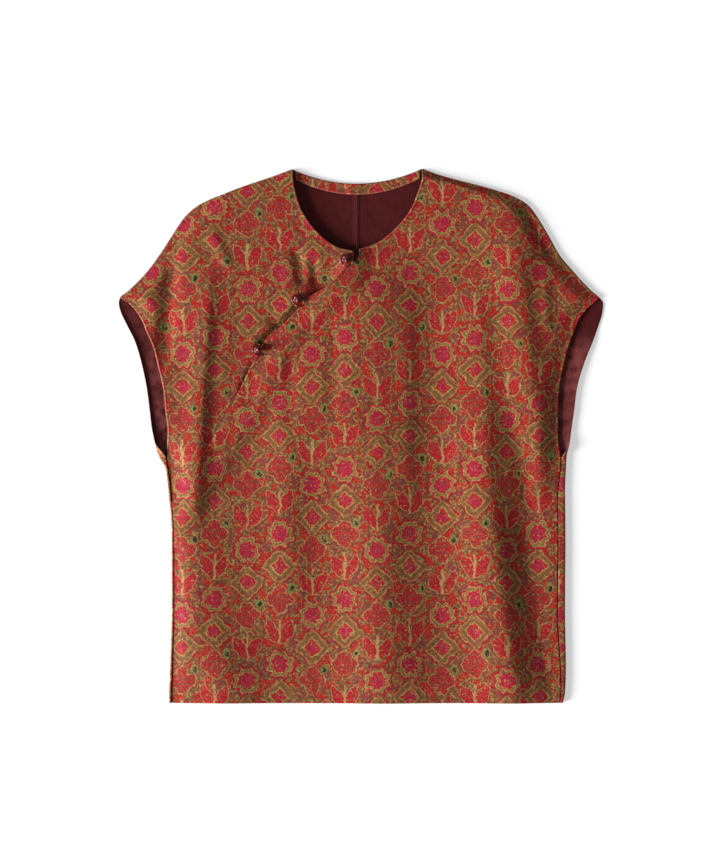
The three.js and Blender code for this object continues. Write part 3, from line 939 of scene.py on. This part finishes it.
# Print motifs. Each row lays a colour out to a size or, with a half width, as a line at that size. The last
# number is how soft its border is.
SOFT = 0.35
LINE_SOFT = 0.3
ROSETTE = [
    (UMBER, 19.4, 0, SOFT),
    (CRIMSON, 18.5, 0, SOFT),
    (OLIVE, 14.6, 0, SOFT),
    (TAN, 14.9, 0.6, LINE_SOFT),
    (CRIMSON, 11, 0, SOFT),
    (MAGENTA, 7.5, 0, 2.5),
    (TAN, 11.2, 0.5, LINE_SOFT),
]
LEAF = [
    (UMBER, 8.4, 0, SOFT),
    (CRIMSON, 7.2, 0, SOFT),
    (TAN, 7.4, 0.5, LINE_SOFT),
]
FOUR_LOBES = [
    (UMBER, 10, 0, SOFT),
    (SCARLET, 8.6, 0, SOFT),
    (TAN, 8.8, 0.55, LINE_SOFT),
    (MAUVE, 5.0, 0.9, LINE_SOFT),
    (CRIMSON, 2.6, 0, SOFT),
]
DIAMOND = [
    (UMBER, 27.2, 0, SOFT),
    (CRIMSON, 26, 0, SOFT),
    (TAN, 22.5, 0.8, LINE_SOFT),
    (OLIVE, 21.8, 0, SOFT),
    (MAUVE, 17, 1.2, LINE_SOFT),
    (SCARLET, 12, 0, SOFT),
    (TAN, 12.2, 0.8, LINE_SOFT),
    (MAGENTA, 7.5, 0, 1.5),
]

# How ruffled the rosette is, how the leaves and their stem lie, and how far out the four lobes sit
RUFFLES = 8
RUFFLE_DEPTH = 0.11
LEAF_ASIDE = 9
LEAF_LEAN = (0.45, 0.89)
LEAF_HALF = (7.2, 17)
VEIN = (1.3, 0.5)
VEIN_END = 5.5
STEM_HALF = 1.5
STEM_END = 16
LOBE_REACH = 8.5

# Round spots beside the four lobes: colour, place, how much they are drawn out, radius and softness
SPOTS = [
    (GREEN, 15, 14, 0.8, 4.8, 0.8),
    (DARK, 15.5, 13.5, 0.7, 2.6, 0.5),
]

# Lines scribbled over the print: the scale of their noise, half width, colour and strength
SCRIBBLES = [
    (110, 0.018, UMBER, 0.75),
    (170, 0.016, TAN, 0.8),
    (80, 0.012, MAUVE, 0.9),
]


class Field:
    """A number over the cloth, worked out by the shader's Math nodes."""

    def __init__(self, tree, socket):
        self.tree = tree
        self.socket = socket

    def math(self, operation, *others, clamp=False):
        node = self.tree.nodes.new("ShaderNodeMath")
        node.operation = operation
        node.use_clamp = clamp
        for entry, value in zip(node.inputs, (self, *others)):
            if isinstance(value, Field):
                self.tree.links.new(value.socket, entry)
            else:
                entry.default_value = value
        return Field(self.tree, node.outputs[0])

    def __add__(self, other):
        return self.math("ADD", other)

    def __sub__(self, other):
        return self.math("SUBTRACT", other)

    def __mul__(self, other):
        return self.math("MULTIPLY", other)

    def __abs__(self):
        return self.math("ABSOLUTE")

    def least(self, other):
        return self.math("MINIMUM", other)

    def most(self, other):
        return self.math("MAXIMUM", other)

    def below(self, limit, soft=SOFT):
        """1 where the field is under a limit and 0 over it, with a soft step between."""
        return self.math("MULTIPLY_ADD", -0.5 / soft, 0.5 + 0.5 * limit / soft, clamp=True)

    def above(self, limit, soft=SOFT):
        """1 where the field is over a limit."""
        return self.math("MULTIPLY_ADD", 0.5 / soft, 0.5 - 0.5 * limit / soft, clamp=True)

    def around(self, middle, half, soft=LINE_SOFT):
        """1 where the field is within a line's half width of its middle."""
        return abs(self - middle).below(half, soft)


def length_of(a, b):
    return (a * a + b * b).math("SQRT")


class Paint:
    """Colours laid over each other by masks."""

    def __init__(self, tree, base):
        self.tree = tree
        self.colour = base

    def put(self, colour, mask):
        node = self.tree.nodes.new("ShaderNodeMix")
        node.data_type = "RGBA"
        self.tree.links.new(mask.socket, node.inputs[0])
        for entry, value in ((node.inputs[6], self.colour), (node.inputs[7], colour)):
            if isinstance(value, tuple):
                entry.default_value = value
            else:
                self.tree.links.new(value, entry)
        self.colour = node.outputs[2]

    def motif(self, shape, rows, here):
        """Lays the rows of a motif over each other where the cell holds it."""
        for colour, size, half, soft in rows:
            mask = shape.around(size, half, soft) if half else shape.below(size, soft)
            self.put(colour, mask * here)


def noise(tree, vector, scale, detail=2.0):
    """A noise node over the cloth, which has a number and a colour."""
    node = tree.nodes.new("ShaderNodeTexNoise")
    node.noise_dimensions = "2D"
    node.inputs["Scale"].default_value = scale
    node.inputs["Detail"].default_value = detail
    tree.links.new(vector, node.inputs["Vector"])
    return node


def noise_field(tree, vector, scale, detail=2.0):
    return Field(tree, noise(tree, vector, scale, detail).outputs["Fac"])


def painted_light_field(tree):
    """The number from 0 to 1 that a mesh holds at each point for painted light: a highlight along turned
    edges, and a paler reverse inside the armholes.
    """
    mark = tree.nodes.new("ShaderNodeAttribute")
    mark.attribute_name = "edge"
    return Field(tree, mark.outputs["Fac"])


def cloth_vector(tree):
    """Places on the cloth before it was folded, in metres."""
    node = tree.nodes.new("ShaderNodeUVMap")
    node.uv_map = "cloth"
    return node.outputs[0]


def cell_places(tree, vector):
    """Millimetres from the middle of each motif's cell, with a drawn wobble, and the kind of the cell."""
    parts = tree.nodes.new("ShaderNodeSeparateXYZ")
    tree.links.new(vector, parts.inputs[0])
    wobble = tree.nodes.new("ShaderNodeSeparateXYZ")
    tree.links.new(noise(tree, vector, WOBBLE_SCALE).outputs["Color"], wobble.inputs[0])
    unit = 1 / (MM * PRINT_SCALE)
    x = Field(tree, parts.outputs[0]) * unit + (Field(tree, wobble.outputs[0]) - 0.5) * WOBBLE
    y = Field(tree, parts.outputs[1]) * unit + (Field(tree, wobble.outputs[1]) - 0.5) * WOBBLE
    column = (x * (1 / CELL)).math("FLOOR")
    y = y + column.math("FLOORED_MODULO", 2.0) * (CELL / 2)
    row = (y * (1 / CELL)).math("FLOOR")
    p = x - (column + 0.5) * CELL
    q = y - (row + 0.5) * CELL
    kind = (row + column * 3).math("FLOORED_MODULO", 4.0)
    return p, q, kind


def print_colour(tree, vector):
    """A dense drawn print of rosettes, leaves, four-lobed patches and diamonds in staggered columns."""
    p, q, kind = cell_places(tree, vector)
    patch = noise_field(tree, vector, PATCH_SCALE)
    fleck = noise_field(tree, vector, FLECK_SCALE)
    paint = Paint(tree, OLIVE)
    ground(paint, patch, fleck)
    for number, motif in enumerate((rosette, leaves, four_lobes, diamonds)):
        motif(paint, p, q, kind.math("COMPARE", float(number), 0.5))
    scribble(paint, tree, vector, fleck)
    return paint.colour, fleck


def ground(paint, patch, fleck):
    """Fine flecks and larger patches between the motifs. Noises swing about 0.5."""
    paint.put(TAN, fleck.above(0.56, 0.05) * 0.6)
    paint.put(UMBER, fleck.below(0.42, 0.03) * 0.55)
    paint.put(MAUVE, patch.below(0.43, 0.02))
    paint.put(SCARLET, patch.above(0.54, 0.015))


def rosette(paint, p, q, here):
    """A round flower with a ruffled edge."""
    radius = length_of(p, q)
    ruffle = (q.math("ARCTAN2", p) * RUFFLES).math("COSINE")
    paint.motif(radius * (ruffle * RUFFLE_DEPTH + 1), ROSETTE, here)


def leaves(paint, p, q, here):
    """Two slanting leaves on a stem."""
    lean, up = LEAF_LEAN
    wide, long = LEAF_HALF
    across = abs(p) - LEAF_ASIDE
    along_leaf = across * lean + q * up
    aside = abs(across * up - q * lean)
    shape = aside + along_leaf * along_leaf * (wide / long ** 2)
    paint.motif(shape, LEAF, here)
    paint.put(SCARLET, aside.below(*VEIN) * shape.below(VEIN_END) * here)
    stem = abs(p).around(0.0, STEM_HALF) * abs(q).below(STEM_END)
    paint.put(TAN, stem * here)


def four_lobes(paint, p, q, here):
    """Four round lobes about a middle, with spots beside them."""
    wide = abs(p).most(abs(q)) - LOBE_REACH
    thin = abs(p).least(abs(q))
    paint.motif(length_of(wide, thin), FOUR_LOBES, here)
    for colour, x, y, drawn_out, size, soft in SPOTS:
        spot = length_of(p - x, (q - y) * drawn_out)
        paint.put(colour, spot.below(size, soft) * here)


def diamonds(paint, p, q, here):
    """Diamonds inside each other."""
    paint.motif(abs(p) + abs(q), DIAMOND, here)


def scribble(paint, tree, vector, fleck):
    """Curling drawn lines over the whole print."""
    for scale, width, colour, share in SCRIBBLES:
        curls = noise_field(tree, vector, scale, 1.0)
        paint.put(colour, curls.around(0.5, width, 0.012) * fleck.above(0.42, 0.06) * share)


def surface_of(material):
    tree = material.node_tree
    return tree, tree.nodes["Principled BSDF"]


def new_material(name, rough, gloss):
    material = bpy.data.materials.new(name)
    material.use_nodes = True
    _, surface = surface_of(material)
    surface.inputs["Roughness"].default_value = rough
    surface.inputs["Specular IOR Level"].default_value = gloss
    return material


def weave_bump(tree, surface, vector):
    """Fine weave and faint crumpling of the cloth."""
    weave = tree.nodes.new("ShaderNodeTexWave")
    weave.inputs["Scale"].default_value = WEAVE_SCALE
    weave.inputs["Distortion"].default_value = WEAVE_DISTORTION
    tree.links.new(vector, weave.inputs["Vector"])
    crumples = noise_field(tree, vector, CRUMPLE_SCALE, 3.0) * CRUMPLE_SHARE
    height = crumples + Field(tree, weave.outputs["Fac"]) * WEAVE_SHARE
    bump = tree.nodes.new("ShaderNodeBump")
    bump.inputs["Distance"].default_value = BUMP_DEPTH
    bump.inputs["Strength"].default_value = 1
    tree.links.new(height.socket, bump.inputs["Height"])
    tree.links.new(bump.outputs[0], surface.inputs["Normal"])


def print_material():
    """Satin with the drawn print, and a painted highlight along its turned edges."""
    material = new_material("print_cloth", CLOTH_ROUGH, PRINT_GLOSS)
    tree, surface = surface_of(material)
    vector = cloth_vector(tree)
    colour, fleck = print_colour(tree, vector)
    paint = Paint(tree, colour)
    paint.put(FLECK, fleck.below(0.5, 0.12) * 0.16)
    # Painted highlight along the turned edges
    paint.put(EDGE_HIGHLIGHT, painted_light_field(tree) * EDGE_HIGHLIGHT_SHARE)
    tree.links.new(paint.colour, surface.inputs["Base Color"])
    weave_bump(tree, surface, vector)
    return material


def reverse_material():
    """The dark back of the printed cloth, mottled, and with painted light where the mesh holds it."""
    material = new_material("cloth_reverse", CLOTH_ROUGH, REVERSE_GLOSS)
    tree, surface = surface_of(material)
    vector = cloth_vector(tree)
    paint = Paint(tree, REVERSE)
    paint.put(REVERSE_DEEP, noise_field(tree, vector, DEEP_SCALE, 3.0))
    # Painted light on the reverse where the mesh holds it, broken up by a noise
    mottled = noise_field(tree, vector, PALE_SCALE, 4.0).above(0.46, 0.2)
    paint.put(REVERSE_LIT, painted_light_field(tree) * mottled)
    tree.links.new(paint.colour, surface.inputs["Base Color"])
    weave_bump(tree, surface, vector)
    return material


def cord_material():
    """Dark red satin cord."""
    material = new_material("cord", CORD_ROUGH, CORD_GLOSS)
    _, surface = surface_of(material)
    surface.inputs["Base Color"].default_value = CORD
    return material


def flat_area(u, v):
    """Area of a grid of places, from the diagonals of its quads."""
    first_u, first_v = u[1:, 1:] - u[:-1, :-1], v[1:, 1:] - v[:-1, :-1]
    second_u, second_v = u[1:, :-1] - u[:-1, 1:], v[1:, :-1] - v[:-1, 1:]
    return float(abs(np.sum(0.5 * (first_u * second_v - second_u * first_v))))


def finish_cloth(obj, places, materials, node, rests_on):
    """Gives a cloth its materials, puts it in the frame and works out its flat area."""
    for material in materials:
        obj.data.materials.append(material)
    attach(obj, "root")
    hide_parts(node)
    u, v = places[..., 0] * MM, places[..., 1] * MM
    flat_area(u, v)


def build_top():
    cloth = [print_material(), reverse_material()]
    cord = cord_material()
    for obj, places in (back_half("left"), back_half("right")):
        finish_cloth(obj, places, cloth, obj.name.replace("cloth_", ""), ["floor"])
    finish_cloth(*neck_facing(), cloth, "back_neck_facing", ["cloth_back_left", "cloth_back_right"])
    finish_cloth(*under_front(), cloth, "under_front", ["cloth_back_left"])
    finish_cloth(*main_front(), cloth, "main_front", ["cloth_back_right", "cloth_under_front"])
    for name in KNOTS:
        for obj, node in ((knot(name), f"knot_{name}"), (loop(name), f"loop_{name}")):
            obj.data.materials.append(cord)
            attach(obj, "root")
            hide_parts(node)


def build_floor():
    bpy.ops.mesh.primitive_plane_add(size=FLOOR_SIZE, location=(0, 0, FLOOR_LEVEL))
    floor = bpy.context.object
    floor.name = "floor"
    material = bpy.data.materials.new("floor")
    material.use_nodes = True
    _, surface = surface_of(material)
    surface.inputs["Base Color"].default_value = (FLOOR_GREY, FLOOR_GREY, FLOOR_GREY, 1)
    surface.inputs["Roughness"].default_value = 0.9
    surface.inputs["Specular IOR Level"].default_value = 0
    surface.inputs["Emission Color"].default_value = (1, 1, 1, 1)
    surface.inputs["Emission Strength"].default_value = FLOOR_GLOW
    floor.data.materials.append(material)


def build_light():
    data = bpy.data.lights.new("key", "SUN")
    data.energy = SUN_POWER
    data.angle = math.radians(SUN_WIDTH)
    lamp = bpy.data.objects.new("key", data)
    lamp.rotation_euler = Vector(SUN_RAYS).to_track_quat("-Z", "Y").to_euler()
    bpy.context.scene.collection.objects.link(lamp)
    world = bpy.data.worlds.new("world")
    world.use_nodes = True
    background = world.node_tree.nodes["Background"]
    background.inputs[0].default_value = (1, 1, 1, 1)
    background.inputs[1].default_value = SKY
    bpy.context.scene.world = world


def build_camera():
    data = bpy.data.cameras.new("camera")
    data.sensor_width = SENSOR
    data.lens = LENS
    data.clip_end = FAR_CLIP
    camera = bpy.data.objects.new("camera", data)
    camera.location = CAMERA_PLACE
    bpy.context.scene.collection.objects.link(camera)
    bpy.context.scene.camera = camera


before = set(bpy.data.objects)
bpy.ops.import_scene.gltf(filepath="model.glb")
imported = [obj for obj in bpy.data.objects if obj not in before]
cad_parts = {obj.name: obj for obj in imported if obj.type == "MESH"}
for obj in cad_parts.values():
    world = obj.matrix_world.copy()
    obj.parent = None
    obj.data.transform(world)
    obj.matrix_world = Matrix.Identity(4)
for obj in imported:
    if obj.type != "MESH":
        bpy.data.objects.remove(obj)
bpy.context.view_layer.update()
build_top()
build_floor()
build_light()
build_camera()
bpy.context.scene.view_settings.view_transform = "Standard"
